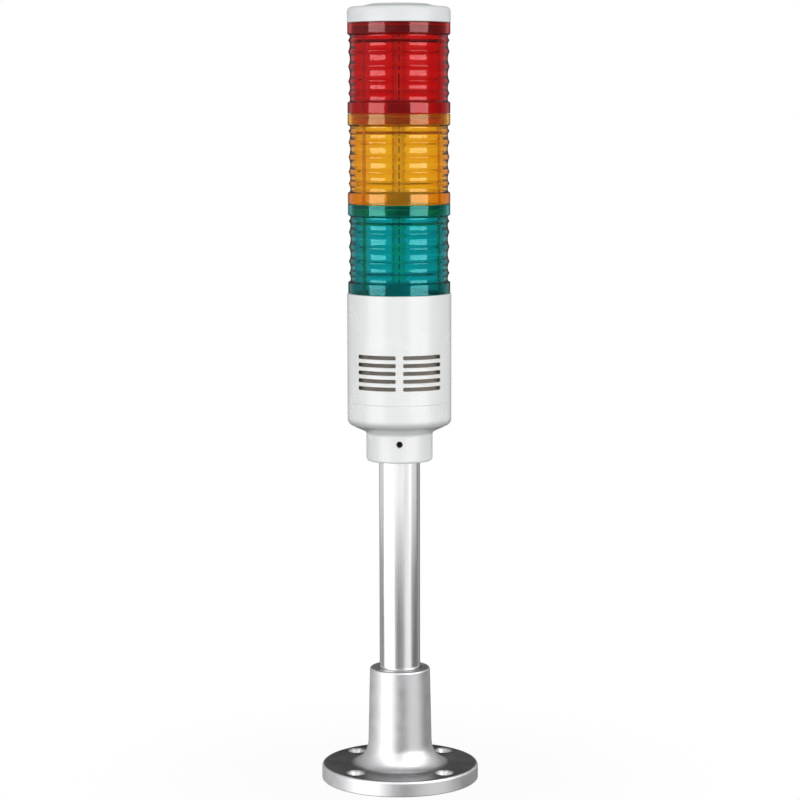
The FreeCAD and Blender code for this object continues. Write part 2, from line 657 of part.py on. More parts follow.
deck = D["board_z"] + D["board_thk"]
keep(rod("capacitor_can", 9.0, -8.0, deck, 5.0, 11.0), "capacitor")
keep(block("driver_box", -8.5, 5.0, deck, 15.0, 11.0, 9.0), "driver_module")
plug = new_body("tier_connector")
sk = new_sketch(plug, "plan", "XY_Plane", deck)
rect(sk, 4.0, 6.0, 16.0, 12.0)
grow(plug, "shroud", sk, 8.0)
sk = new_sketch(plug, "well_plan", "XY_Plane", deck + 8.0)
rect(sk, 5.0, 7.0, 15.0, 11.0)
cut(plug, "well", sk, 6.5)

cboard = new_body("contact_board")
sk = new_sketch(cboard, "plan", "XY_Plane", D["ledge_z"])
disc(sk, 0, 0, D["spigot_in"] - 0.4)
disc(sk, 0, 0, 3.0)
grow(cboard, "plate", sk, 1.6)

# ---------------------------------------------------------------- tiers
VALLEYS = (7.95, 13.4, 20.85, 28.6, 36.05, 41.5)


def lens_outline():
    """Spigot, lower band, ribbed drum, upper band with its socket."""
    s, g = D["spigot_rad"], D["groove_rad"]
    pts = [
        (D["spigot_in"], -D["spigot_len"]), (s, -D["spigot_len"]),
        (s, -2.1), (g, -2.1), (g, -0.7), (s, -0.7), (s, D["seam_gap"]),
        (D["lens_rad"] - 0.2, D["seam_gap"]), (D["lens_rad"], D["seam_gap"] + 0.2),
        (D["lens_rad"], 6.6),
        (D["valley_rad"], 7.3),
    ]
    rise = D["crest_rad"] - D["valley_rad"]
    for a, b in zip(VALLEYS[:-1], VALLEYS[1:]):
        w = (b - a) / 2.0 - 0.7
        shape = ((0.0, 0.0), (0.30, 0.20), (0.62, 0.74), (0.86, 1.0))
        pts += [(D["valley_rad"] + rise * f, a + 0.7 + u * w) for u, f in shape]
        pts += [(D["valley_rad"] + rise * f, b - 0.7 - u * w) for u, f in reversed(shape)]
    pts += [
        (D["valley_rad"], 42.15), (D["lens_rad"], 42.85),
        (D["lens_rad"], D["tier_step"] - 0.2), (D["lens_rad"] - 0.2, D["tier_step"]),
        (D["socket_rad"], D["tier_step"]),
        (D["socket_rad"], D["tier_step"] - D["socket_deep"]),
        (D["lens_in"], D["tier_step"] - D["socket_deep"]),
        (D["lens_in"], 0), (D["spigot_in"], 0),
    ]
    return pts


def tier(colour, z):
    lens = new_body("lens_" + colour, z)
    turned(lens, "drum", lens_outline())
    bayonet_lugs(lens)
    bayonet_tracks(lens, D["tier_step"])

    ring = prim("Part::Torus", "seal_ring_" + colour, Radius1=D["ring_mid"], Radius2=D["ring_sec"])
    put(ring, 0, 0, as_q(z) - 1.4)
    keep(ring, "seal_" + colour)

    hub = new_body("hub_" + colour, z)
    sk = new_sketch(hub, "plate_plan", "XY_Plane", -D["hub_low"])
    disc(sk, 0, 0, D["plate_rad"])
    grow(hub, "plate", sk, D["plate_thk"])
    sk = new_sketch(hub, "block_plan", "XY_Plane", -D["hub_low"])
    half = D["hub_wide"] / 2
    rect(sk, -half, -half, half, half)
    grow(hub, "block", sk, D["hub_low"] + D["hub_top"])
    sk = new_sketch(hub, "foot_plan", "XY_Plane", -D["hub_low"])
    rect(sk, -half - 1.3, -half - 1.3, half + 1.3, half + 1.3)
    grow(hub, "foot", sk, D["hub_low"] + 1.0)

    head = new_body("socket_" + colour, z)
    sk = new_sketch(head, "plan", "XY_Plane", D["head_low"])
    rect(sk, -half, -half, half, half)
    grow(head, "block", sk, D["head_top"] - D["head_low"])
    sk = new_sketch(head, "well_plan", "XY_Plane", D["head_top"])
    rect(sk, -half + 1.5, -half + 1.5, half - 1.5, half - 1.5)
    cut(head, "well", sk, 2.0)

    zq = as_q(z)
    tall = D["head_low"] - D["hub_top"]
    mid = D["column_half"] - D["strip_thk"] / 2
    strips = [
        block("strip_f_" + colour, 0, -mid, zq + D["hub_top"], D["strip_wide"] - 0.05, D["strip_thk"], tall),
        block("strip_b_" + colour, 0, mid, zq + D["hub_top"], D["strip_wide"] - 0.05, D["strip_thk"], tall),
        block("strip_l_" + colour, -mid, 0, zq + D["hub_top"], D["strip_thk"], D["strip_wide"] - 0.05, tall),
        block("strip_r_" + colour, mid, 0, zq + D["hub_top"], D["strip_thk"], D["strip_wide"] - 0.05, tall),
    ]
    group("led_boards_" + colour, strips)

    lamps = []
    off = D["column_half"] + D["lamp_deep"] / 2
    for k, up_by in enumerate((12.0, 23.5, 35.0)):
        base = zq + up_by - D["lamp_tall"] / 2
        lamps.append(block("lamp_f%d_%s" % (k, colour), 0, -off, base, D["lamp_wide"], D["lamp_deep"], D["lamp_tall"]))
        lamps.append(block("lamp_b%d_%s" % (k, colour), 0, off, base, D["lamp_wide"], D["lamp_deep"], D["lamp_tall"]))
        lamps.append(block("lamp_l%d_%s" % (k, colour), -off, 0, base, D["lamp_deep"], D["lamp_wide"], D["lamp_tall"]))
        lamps.append(block("lamp_r%d_%s" % (k, colour), off, 0, base, D["lamp_deep"], D["lamp_wide"], D["lamp_tall"]))
    group("leds_" + colour, lamps)

    rails, pins = [], []
    for k, deg in enumerate((216.9, 336.9, 96.9)):
        turn = Rotation(UP, deg)
        wide, thick = D["rail_wide"].value, D["rail_thk"].value
        r = prim("Part::Box", "rail_%d_%s" % (k, colour), Length=D["rail_thk"], Width=D["rail_wide"],
                 Height=D["rail_top"] + 1.0)
        at = turn.multVec(Vector(D["rail_mid"].value - thick / 2, -wide / 2, 0))
        r.Placement = Placement(Vector(at.x, at.y, zq.value - 1.0), turn)
        r.setExpression("Placement.Base.z", (zq - 1.0).text)
        rails.append(r)
        c, s = math.cos(math.radians(deg)), math.sin(math.radians(deg))
        pins.append(rod("pin_%d_%s" % (k, colour), D["rail_mid"] * c, D["rail_mid"] * s, zq - D["pin_low"],
                        D["pin_rad"], D["pin_low"] - D["hub_low"]))
    group("bus_strips_" + colour, rails)
    group("contact_pins_" + colour, pins)


tier("green", D["deck_z"])
tier("amber", D["deck_z"] + D["tier_step"])
tier("red", D["deck_z"] + D["tier_step"] * 2)

# ---------------------------------------------------------------- cap
cap_z = D["deck_z"] + D["tier_step"] * 3
cap = new_body("top_cap", cap_z)
s, g = D["spigot_rad"], D["groove_rad"]
turned(cap, "shell", [
    (D["spigot_in"], -D["spigot_len"]), (s, -D["spigot_len"]),
    (s, -2.1), (g, -2.1), (g, -0.7), (s, -0.7), (s, D["seam_gap"]),
    (D["cap_rad"] - 0.2, D["seam_gap"]), (D["cap_rad"], D["seam_gap"] + 0.2),
    (D["cap_rad"], D["cap_side"]),
    (D["step_rad"], D["cap_step"]),
    (D["dome_rad"], D["cap_flat"]),
    (0, D["cap_top"]),
    (0, D["cap_top"] - D["wall"]),
    (D["dome_rad"], D["cap_flat"] - D["wall"]),
    (D["step_rad"], D["cap_step"] - D["wall"]),
    (D["spigot_in"], D["cap_side"] - D["wall"]),
], (11, 13))
round_edges(cap, "rim_blend", ring_edges(cap, [(27.8, 8.25)]), 2.6)
round_edges(cap, "step_blend", ring_edges(cap, [(18.6, 9.1)]), 5.0)
round_edges(cap, "dome_blend", ring_edges(cap, [(15.6, 10.1)]), 5.0)
bayonet_lugs(cap)
ring = prim("Part::Torus", "cap_seal_ring", Radius1=D["ring_mid"], Radius2=D["ring_sec"])
put(ring, 0, 0, cap_z - 1.4)
keep(ring, "cap_seal")

# ---------------------------------------------------------------- check and write
doc.recompute()
bad = [o.Name + " " + str(o.State) for o in doc.Objects if "Invalid" in o.State or "Error" in o.State]
if bad:
    raise RuntimeError("failed objects: " + ", ".join(bad))
for node in NODES:
    shape = node.Shape
    if shape.isNull() or not shape.isValid() or not shape.Solids:
        raise RuntimeError("bad shape: " + node.Label)
os.makedirs("parts", exist_ok=True)
for node in NODES:
    node.Shape.exportStep("parts/%s.step" % node.Label)
    b = node.Shape.BoundBox
    print("%-20s solids %2d  volume %9.1f  z %7.2f to %7.2f" % (
        node.Label, len(node.Shape.Solids), node.Shape.Volume, b.ZMin, b.ZMax))
print(len(NODES), "nodes")
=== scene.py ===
import json
import math

import bmesh
import bpy
from mathutils import Matrix, Vector

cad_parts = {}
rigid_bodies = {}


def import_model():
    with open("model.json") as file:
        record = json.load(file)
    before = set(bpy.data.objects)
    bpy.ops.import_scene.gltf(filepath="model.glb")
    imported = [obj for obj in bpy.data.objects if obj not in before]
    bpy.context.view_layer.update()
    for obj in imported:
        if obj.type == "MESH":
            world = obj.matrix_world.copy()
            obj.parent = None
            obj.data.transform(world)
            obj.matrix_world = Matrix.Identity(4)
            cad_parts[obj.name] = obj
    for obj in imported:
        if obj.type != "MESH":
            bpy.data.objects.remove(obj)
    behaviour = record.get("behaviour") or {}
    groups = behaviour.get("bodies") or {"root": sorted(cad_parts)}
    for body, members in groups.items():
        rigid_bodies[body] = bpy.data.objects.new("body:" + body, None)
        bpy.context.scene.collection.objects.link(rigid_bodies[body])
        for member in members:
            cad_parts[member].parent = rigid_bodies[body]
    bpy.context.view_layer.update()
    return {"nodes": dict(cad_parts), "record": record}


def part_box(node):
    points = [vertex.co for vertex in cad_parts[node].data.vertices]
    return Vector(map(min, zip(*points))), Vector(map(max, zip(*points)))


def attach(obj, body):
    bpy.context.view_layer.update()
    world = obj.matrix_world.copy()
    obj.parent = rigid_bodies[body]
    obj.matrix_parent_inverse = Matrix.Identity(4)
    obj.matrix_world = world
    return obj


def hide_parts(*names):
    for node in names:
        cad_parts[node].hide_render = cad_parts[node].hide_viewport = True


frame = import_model()
nodes = frame["nodes"]
MM = 0.001


# ---------------------------------------------------------------- node helpers
class Tree:
    """A short way of wiring shader nodes."""

    def __init__(self, tree):
        self.t = tree

    def add(self, kind, **props):
        n = self.t.nodes.new(kind)
        for k, v in props.items():
            setattr(n, k, v)
        return n

    def link(self, a, b):
        self.t.links.new(a, b)

    def put(self, value, socket):
        if isinstance(value, bpy.types.NodeSocket):
            self.link(value, socket)
        elif value is not None:
            socket.default_value = value

    def math(self, op, a, b=None, c=None, clamp=False):
        n = self.add("ShaderNodeMath", operation=op, use_clamp=clamp)
        for v, s in zip((a, b, c), n.inputs):
            self.put(v, s)
        return n.outputs[0]

    def ramp(self, value, lo, hi, to_lo=0.0, to_hi=1.0, smooth=True):
        n = self.add("ShaderNodeMapRange", interpolation_type="SMOOTHSTEP" if smooth else "LINEAR", clamp=True)
        self.put(value, n.inputs["Value"])
        for k, v in (("From Min", lo), ("From Max", hi), ("To Min", to_lo), ("To Max", to_hi)):
            self.put(v, n.inputs[k])
        return n.outputs[0]

    def mix(self, f, a, b, blend="MIX"):
        n = self.add("ShaderNodeMix", data_type="RGBA", blend_type=blend)
        self.put(f, n.inputs[0])
        self.put(a, n.inputs[6])
        self.put(b, n.inputs[7])
        return n.outputs[2]

    def coord(self, scale=(1, 1, 1), which="Object", rot=(0, 0, 0)):
        c = self.add("ShaderNodeTexCoord")
        m = self.add("ShaderNodeMapping")
        m.inputs["Scale"].default_value = scale
        m.inputs["Rotation"].default_value = rot
        self.link(c.outputs[which], m.inputs["Vector"])
        return m.outputs[0]

    def noise(self, vec, scale, detail=3.0, rough=0.55, distort=0.0):
        n = self.add("ShaderNodeTexNoise")
        self.link(vec, n.inputs["Vector"])
        n.inputs["Scale"].default_value = scale
        n.inputs["Detail"].default_value = detail
        n.inputs["Roughness"].default_value = rough
        n.inputs["Distortion"].default_value = distort
        return n.outputs["Fac"]

    def voronoi(self, vec, scale, feature="F1", out="Distance"):
        n = self.add("ShaderNodeTexVoronoi", feature=feature)
        self.link(vec, n.inputs["Vector"])
        n.inputs["Scale"].default_value = scale
        return n.outputs[out]

    def bump(self, height, strength, distance, normal=None):
        n = self.add("ShaderNodeBump")
        n.inputs["Strength"].default_value = strength
        n.inputs["Distance"].default_value = distance
        self.link(height, n.inputs["Height"])
        if normal is not None:
            self.link(normal, n.inputs["Normal"])
        return n.outputs[0]


def material(name, **sockets):
    m = bpy.data.materials.new(name)
    m.use_nodes = True
    t = Tree(m.node_tree)
    b = m.node_tree.nodes["Principled BSDF"]
    for k, v in sockets.items():
        t.put(v, b.inputs[k.replace("_", " ")])
    return m, t, b


def rgb(r, g, b, a=1.0):
    """Screen values 0-255 to a linear colour."""
    f = lambda c: c / 12.92 if c <= 0.04045 else ((c + 0.055) / 1.055) ** 2.4
    return (f(r / 255), f(g / 255), f(b / 255), a)


# ---------------------------------------------------------------- materials
def paint_shade_bands(t, colour, shade_bands):
    """Painted shade by height on the piece: each band (from, to, softness, tint), in metres, multiplies the colour by
    its dark tint between the two heights.
    """
    c = t.add("ShaderNodeTexCoord")
    sep = t.add("ShaderNodeSeparateXYZ")
    t.link(c.outputs["Object"], sep.inputs[0])
    z = sep.outputs[2]
    for lo, hi, soft, tint in shade_bands:
        inside = t.math("MULTIPLY", t.ramp(z, lo - soft, lo + soft), t.ramp(z, hi - soft, hi + soft, 1.0, 0.0))
        colour = t.mix(inside, colour, t.mix(1.0, colour, tint, "MULTIPLY"))
    return colour


def abs_plastic(name, base, rough, grain=0.22, grain_scale=5200.0, shade_bands=()):
    """Moulded ABS: fine spark-eroded grain, faint flow variation in tone and gloss, and painted shade in the height
    bands given.
    """
    m, t, b = material(name, IOR=1.53)
    v = t.coord()
    flow = t.noise(v, 38.0, 2.0, 0.5, 0.6)
    speck = t.noise(v, 900.0, 2.0, 0.6)
    lo = tuple(c * 0.965 for c in base[:3]) + (1.0,)
    t.link(paint_shade_bands(t, t.mix(t.ramp(flow, 0.3, 0.7), lo, base), shade_bands), b.inputs["Base Color"])
    r = t.math("ADD", t.ramp(flow, 0.3, 0.7, rough - 0.03, rough + 0.03), t.ramp(speck, 0.35, 0.65, -0.02, 0.03))
    t.link(r, b.inputs["Roughness"])
    h = t.math("ADD", t.noise(v, grain_scale, 2.0, 0.6), t.math("MULTIPLY", flow, 2.0))
    t.link(t.bump(h, grain, 0.00002), b.inputs["Normal"])
    return m


def cast_metal(name, base, rough):
    """Cast aluminium skimmed on a lathe and tumbled: fine grain, slight mottling, faint rings about the axis; painted
    shade darkens the flange's flat top face.
    """
    m, t, b = material(name, Metallic=1.0, Anisotropic=0.75)
    v = t.coord()
    mottle = t.noise(v, 120.0, 3.0, 0.55, 0.4)
    fine = t.noise(v, 4200.0, 3.0, 0.65)
    lo = tuple(c * 0.93 for c in base[:3]) + (1.0,)
    tone = t.mix(t.ramp(mottle, 0.32, 0.68), lo, base)
    c = t.add("ShaderNodeTexCoord")
    sep = t.add("ShaderNodeSeparateXYZ")
    t.link(c.outputs["Object"], sep.inputs[0])
    out = t.math("SQRT", t.math("ADD", t.math("MULTIPLY", sep.outputs[0], sep.outputs[0]), t.math("MULTIPLY", sep.outputs[1], sep.outputs[1])))
    # painted shade: the flange's flat top face (radius 26.5 to 42 mm, above about 7.9 mm) is mixed 56% towards black
    painted_dark_top_face = t.math("MULTIPLY", t.ramp(out, 0.0255, 0.0275), t.math("MULTIPLY", t.ramp(sep.outputs[2], 0.0076, 0.0082), t.ramp(out, 0.0416, 0.0424, 1.0, 0.0)))
    t.link(t.mix(t.math("MULTIPLY", painted_dark_top_face, 0.56), tone, (0.0, 0.0, 0.0, 1.0)), b.inputs["Base Color"])
    t.link(t.math("ADD", t.ramp(mottle, 0.3, 0.7, rough - 0.02, rough + 0.03), t.ramp(fine, 0.3, 0.7, -0.02, 0.02)), b.inputs["Roughness"])
    t.link(t.bump(fine, 0.16, 0.00002), b.inputs["Normal"])
    ring = t.add("ShaderNodeTangent", direction_type="RADIAL", axis="Z")
    t.link(ring.outputs[0], b.inputs["Tangent"])
    return m


def drawn_metal(name, base, rough):
    """Drawn tube: long fine lines along its length."""
    m, t, b = material(name, Metallic=1.0)
    v = t.coord((1.0, 1.0, 0.012))
    lines = t.noise(v, 2600.0, 3.0, 0.7)
    broad = t.noise(t.coord((1.0, 1.0, 0.05)), 260.0, 2.0, 0.5)
    lo = tuple(c * 0.93 for c in base[:3]) + (1.0,)
    t.link(t.mix(t.ramp(lines, 0.3, 0.7), lo, base), b.inputs["Base Color"])
    t.link(t.math("ADD", t.ramp(broad, 0.3, 0.7, rough - 0.02, rough + 0.04), t.ramp(lines, 0.35, 0.65, -0.02, 0.03)), b.inputs["Roughness"])
    t.link(t.bump(lines, 0.10, 0.00002), b.inputs["Normal"])
    return m


def machined_metal(name, base, rough, scale=1500.0):
    m, t, b = material(name, Metallic=1.0)
    v = t.coord()
    grain = t.noise(v, scale, 3.0, 0.6)
    lo = tuple(c * 0.8 for c in base[:3]) + (1.0,)
    t.link(t.mix(t.ramp(grain, 0.3, 0.7), lo, base), b.inputs["Base Color"])
    t.link(t.ramp(grain, 0.25, 0.75, rough - 0.06, rough + 0.08), b.inputs["Roughness"])
    t.link(t.bump(grain, 0.15, 0.00003), b.inputs["Normal"])
    return m


def soft_black(name, base, rough, scale=2400.0, strength=0.35):
    m, t, b = material(name, IOR=1.5)
    v = t.coord()
    grain = t.noise(v, scale, 3.0, 0.6)
    broad = t.noise(v, 120.0, 2.0, 0.5)
    hi = tuple(min(1.0, c * (1.7 if c < 0.02 else 1.2) + 0.004) for c in base[:3]) + (1.0,)
    t.link(t.mix(t.ramp(broad, 0.3, 0.7), base, hi), b.inputs["Base Color"])
    t.link(t.ramp(grain, 0.3, 0.7, rough - 0.07, rough + 0.08), b.inputs["Roughness"])
    t.link(t.bump(grain, strength, 0.00005), b.inputs["Normal"])
    return m


def board(name, base, trace, pitch, rough=0.42):
    """Solder mask over copper: rows of tracks that show as a faint relief and tone."""
    m, t, b = material(name, IOR=1.5)
    v = t.coord()
    cells = t.voronoi(t.coord((1.0, 1.0, 0.35)), pitch, "DISTANCE_TO_EDGE")
    line = t.ramp(cells, 0.02, 0.07, 1.0, 0.0)
    speck = t.noise(v, 1800.0, 2.0, 0.6)
    t.link(t.mix(line, base, trace), b.inputs["Base Color"])
    t.link(t.ramp(speck, 0.3, 0.7, rough - 0.05, rough + 0.08), b.inputs["Roughness"])
    t.link(t.bump(line, 0.3, 0.00004), b.inputs["Normal"])
    return m


def lamp_board(name, base, dark, rough=0.4):
    """White solder mask on a narrow strip: a dark bare edge, a dark slot down its middle, faint pads."""
    m, t, b = material(name, IOR=1.5)
    c = t.add("ShaderNodeTexCoord")
    sep = t.add("ShaderNodeSeparateXYZ")
    t.link(c.outputs["Object"], sep.inputs[0])
    across = t.math("MINIMUM", t.math("ABSOLUTE", sep.outputs[0]), t.math("ABSOLUTE", sep.outputs[1]))
    middle = t.ramp(across, 0.00018, 0.00040, 1.0, 0.0)
    edge = t.ramp(across, 0.00235, 0.00265, 0.0, 1.0)
    pads = t.voronoi(t.coord((1.0, 1.0, 0.6)), 620.0, "DISTANCE_TO_EDGE")
    pad = t.ramp(pads, 0.02, 0.06, 1.0, 0.0)
    speck = t.noise(t.coord(), 1800.0, 2.0, 0.6)
    shade = t.mix(t.math("MULTIPLY", pad, 0.15), base, tuple(v * 0.7 for v in base[:3]) + (1.0,))
    t.link(t.mix(t.math("MAXIMUM", middle, edge), shade, dark), b.inputs["Base Color"])
    t.link(t.ramp(speck, 0.3, 0.7, rough - 0.05, rough + 0.08), b.inputs["Roughness"])
    t.link(t.bump(t.math("MAXIMUM", middle, pad), 0.3, 0.00004), b.inputs["Normal"])
    return m


def lens_plastic(name, base, deep, absorb, density, gloss, rough=0.05, clear=0.99):
    """Clear tinted polycarbonate: colour from its depth, with a very faint ripple from the mould."""
    m, t, b = material(name, IOR=1.45, Transmission_Weight=clear, Specular_IOR_Level=1.0, Specular_Tint=gloss)
    v = t.coord()
    flow = t.noise(t.coord((1.0, 1.0, 0.4)), 90.0, 2.0, 0.5, 0.5)
    fine = t.noise(v, 1400.0, 2.0, 0.6)
    t.link(t.mix(t.ramp(flow, 0.3, 0.7), deep, base), b.inputs["Base Color"])
    t.link(t.ramp(fine, 0.3, 0.7, rough - 0.02, rough + 0.03), b.inputs["Roughness"])
    t.link(t.bump(flow, 0.10, 0.0003, t.bump(fine, 0.04, 0.00003)), b.inputs["Normal"])
    vol = t.add("ShaderNodeVolumeAbsorption")
    vol.inputs["Color"].default_value = absorb
    vol.inputs["Density"].default_value = density
    t.link(vol.outputs[0], m.node_tree.nodes["Material Output"].inputs["Volume"])
    return m


CAP_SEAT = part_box("top_cap")[0][2] + 5.55 * MM
M = {
    "cast_aluminium": cast_metal("cast_aluminium", (0.54, 0.54, 0.55, 1), 0.34),
    "tube_metal": drawn_metal("tube_metal", (0.74, 0.74, 0.75, 1), 0.22),
    # painted shade: a darker band on the underside of the housing's shoulder, at the neck's root
    "white_abs": abs_plastic("white_abs", (0.74, 0.755, 0.75, 1), 0.24, 0.012, 2600.0, shade_bands=((0.1953, 0.1999, 0.0016, (0.68, 0.69, 0.69, 1)),)),
    # painted shade: the cap's spigot below its seat, inside the red lens's socket, is painted near black
    "cap_abs": abs_plastic("cap_abs", (0.69, 0.71, 0.715, 1), 0.36, 0.012, 2600.0, shade_bands=((0.3, CAP_SEAT, 0.00005, (0.09, 0.07, 0.07, 1)),)),
    "lens_green": lens_plastic("lens_green", (0.04, 0.88, 0.90, 1), (0.035, 0.85, 0.88, 1), (0.0, 0.71, 0.71, 1), 900.0, (0.25, 0.97, 1.0, 1)),
    "lens_amber": lens_plastic("lens_amber", (0.97, 0.88, 0.30, 1), (0.96, 0.85, 0.27, 1), (0.93, 0.72, 0.0, 1), 700.0, (1.0, 0.84, 0.45, 1)),
    "lens_red": lens_plastic("lens_red", (0.945, 0.26, 0.275, 1), (0.925, 0.25, 0.265, 1), (0.85, 0.01, 0.03, 1), 870.0, (1.0, 0.45, 0.45, 1)),
    "black_plastic": soft_black("black_plastic", (0.13, 0.13, 0.13, 1), 0.45),
    "circuit_board": board("circuit_board", (0.01, 0.13, 0.05, 1), (0.02, 0.20, 0.08, 1), 420.0),
    "lamp_board": lamp_board("lamp_board", (0.78, 0.67, 0.59, 1), (0.10, 0.07, 0.05, 1)),
    "lamp_lens": abs_plastic("lamp_lens", (0.86, 0.74, 0.34, 1), 0.18, 0.05),
    "brass": machined_metal("brass", (0.78, 0.53, 0.20, 1), 0.24),
    "steel": machined_metal("steel", (0.52, 0.52, 0.53, 1), 0.28),
    "black_steel": machined_metal("black_steel", (0.05, 0.05, 0.05, 1), 0.35),
    "grey_plastic": soft_black("grey_plastic", (0.36, 0.34, 0.34, 1), 0.45),
    "brown_plastic": soft_black("brown_plastic", (0.33, 0.09, 0.09, 1), 0.45),
    "seal_silicone": soft_black("seal_silicone", (0.30, 0.025, 0.012, 1), 0.4, 1600.0, 0.15),
    "rubber": soft_black("rubber", (0.012, 0.012, 0.012, 1), 0.65, 1600.0, 0.5),
    "dust_screen": soft_black("dust_screen", (0.28, 0.25, 0.21, 1), 0.8, 3000.0, 0.8),
    "sleeve": soft_black("sleeve", (0.03, 0.04, 0.14, 1), 0.3, 900.0, 0.1),
}

slot_of = {s["node"]: s["material_slot"] for s in frame["record"]["subparts"]}
for name, obj in nodes.items():
    obj.data.materials.clear()
    obj.data.materials.append(M[slot_of[name]])

# ---------------------------------------------------------------- mesh helpers
def rounded(points):
    """A closed (r, z) outline from corners (r, z) or (r, z, fillet radius), with its fillets as short chords."""
    out = []
    n = len(points)
    for i, p in enumerate(points):
        if len(p) < 3 or not p[2]:
            out.append((p[0], p[1]))
            continue
        a, b, c = (Vector(points[(i + k) % n][:2]) for k in (-1, 0, 1))
        u, v = (a - b).normalized(), (c - b).normalized()
        half = u.angle(v) / 2
        reach = min(p[2] / math.tan(half), 0.48 * (a - b).length, 0.48 * (c - b).length)
        rad = reach * math.tan(half)
        mid = b + (u + v).normalized() * (rad / math.sin(half))
        s, e = b + u * reach - mid, b + v * reach - mid
        turn = s.angle_signed(e)
        steps = max(2, int(abs(turn) / math.radians(11)) + 1)
        for k in range(steps + 1):
            t = -turn * k / steps
            out.append((mid.x + s.x * math.cos(t) - s.y * math.sin(t), mid.y + s.x * math.sin(t) + s.y * math.cos(t)))
    return out


def lathe(name, outline, columns=288, variants=(), sharp=28.0):
    """Turns a closed (r, z) outline in mm about Z. variants are (from, to, outline) in degrees that stand in
    for it between two angles; each has as many points as the outline has."""
    edges = []
    for a, b, o in variants:
        edges += [(a % 360, None), (b % 360, None)]

    def which(deg):
        for a, b, o in variants:
            if (deg - a) % 360 < (b - a) % 360:
                return o
        return outline

    stops = [a for a, _ in edges]
    cols = []
    for k in range(columns):
        d = 360.0 * k / columns
        if all(abs((d - s + 180) % 360 - 180) > 0.25 for s in stops):
            cols.append((d, which(d)))
    for s in stops:
        cols.append((s - 1e-6, which(s - 0.1)))
        cols.append((s + 1e-6, which(s + 0.1)))
    cols.sort(key=lambda c: c[0])
    bm = bmesh.new()
    rings = []
    for d, o in cols:
        c, s = math.cos(math.radians(d)), math.sin(math.radians(d))
        rings.append([bm.verts.new((r * c * MM, r * s * MM, z * MM)) for r, z in o])
    m = len(outline)
    for i, ring in enumerate(rings):
        nxt = rings[(i + 1) % len(rings)]
        for j in range(m):
            k = (j + 1) % m
            bm.faces.new((ring[j], nxt[j], nxt[k], ring[k]))
    bmesh.ops.remove_doubles(bm, verts=bm.verts, dist=2e-6)
    bmesh.ops.dissolve_degenerate(bm, edges=bm.edges, dist=1e-6)
    bmesh.ops.recalc_face_normals(bm, faces=bm.faces)
    return to_object(name, bm, sharp)


def to_object(name, bm, sharp=28.0):
    me = bpy.data.meshes.new(name)
    bm.to_mesh(me)
    bm.free()
    me.shade_smooth()
    me.set_sharp_from_angle(angle=math.radians(sharp))
    ob = bpy.data.objects.new(name, me)
    bpy.context.scene.collection.objects.link(ob)
    return ob


def stand_in(ob, body, *cad):
    """The piece rides on a body, stands for CAD nodes and takes their finish."""
    slot = slot_of[cad[0]]
    ob.data.materials.clear()
    ob.data.materials.append(M[slot])
    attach(ob, body)
    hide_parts(*cad)
    return ob


# ---------------------------------------------------------------- ribbed lenses
VALLEYS = (8.15, 13.6, 20.85, 29.3, 36.7, 41.2)
TIER = {c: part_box("lens_" + c)[0][2] / MM + 5.5 for c in ("green", "amber", "red")}
STEP = round(TIER["amber"] - TIER["green"], 3)
BODY, CREST, VALLEY = 27.6, 27.15, 26.3
LUG_AT = (0.0, 120.0, 240.0)


def ribs():
    """Scalloped drum between the bands: broad crests, rounded valleys."""
    pts = []
    for a, b in zip(VALLEYS[:-1], VALLEYS[1:]):
        n = 20
        for k in range(n):
            u = k / n
            x = 1.0 - abs(2 * u - 1)
            rise = x * x if x < 0.9 else 0.81 + 1.8 * (x - 0.9) - 9.0 * (x - 0.9) ** 2
            pts.append((VALLEY + (CREST - VALLEY) * rise / 0.9, a + (b - a) * u))
    pts.append((VALLEY, VALLEYS[-1]))
    return pts


def lens_outline(lug=0.0, track=0.0, entry=0.0):
    """Closed outline from the spigot's inner foot, out and up the outside, down the inside."""
    spigot, socket, rim = 25.8, 26.1, STEP
    up = [
        (23.8, -5.5), (spigot - 0.0, -5.5, 0.3),
        (spigot, -4.7), (spigot + lug, -4.7), (spigot + lug, -3.1), (spigot, -3.1),
        (spigot, -2.1), (24.8, -2.1), (24.8, -0.7), (spigot, -0.7),
        (spigot, 0.15, 0.12), (BODY, 0.15, 0.35), (BODY, 5.95, 0.45), (VALLEY + 0.08, 6.75, 0.9),
    ]
    mid = ribs()
    top = [
        (VALLEY + 0.02, STEP - 6.73, 0.4), (BODY, STEP - 5.83, 0.45), (BODY, rim, 0.35), (socket + entry, rim, 0.0),
        (socket + entry, rim - 2.9), (socket + track, rim - 2.9), (socket + track, rim - 4.9), (socket, rim - 4.9),
        (socket, rim - 5.9), (24.6, rim - 5.9, 0.4), (24.6, 0.0), (23.8, 0.0),
    ]
    return rounded(up + mid + top)


for colour, z0 in TIER.items():
    plain_cut = lens_outline()
    variants = []
    for at in LUG_AT:
        # the lug stands on the spigot, the track lies in the socket: their angles overlap, so each span has its own outline
        spans = [(-7, -6, 0, 0.75, 0), (-6, 6, 0.9, 0.75, 0), (6, 13, 0, 0.75, 0), (13, 27, 0, 0.75, 0.75)]
        for a, b, lug, track, entry in spans:
            variants.append((at + a, at + b, lens_outline(lug, track, entry)))
    ob = lathe("lens_drum_" + colour, plain_cut, 300, variants)
    for v in ob.data.vertices:
        v.co.z += z0 * MM
    stand_in(ob, colour + "_tier", "lens_" + colour)
    ob.visible_shadow = False

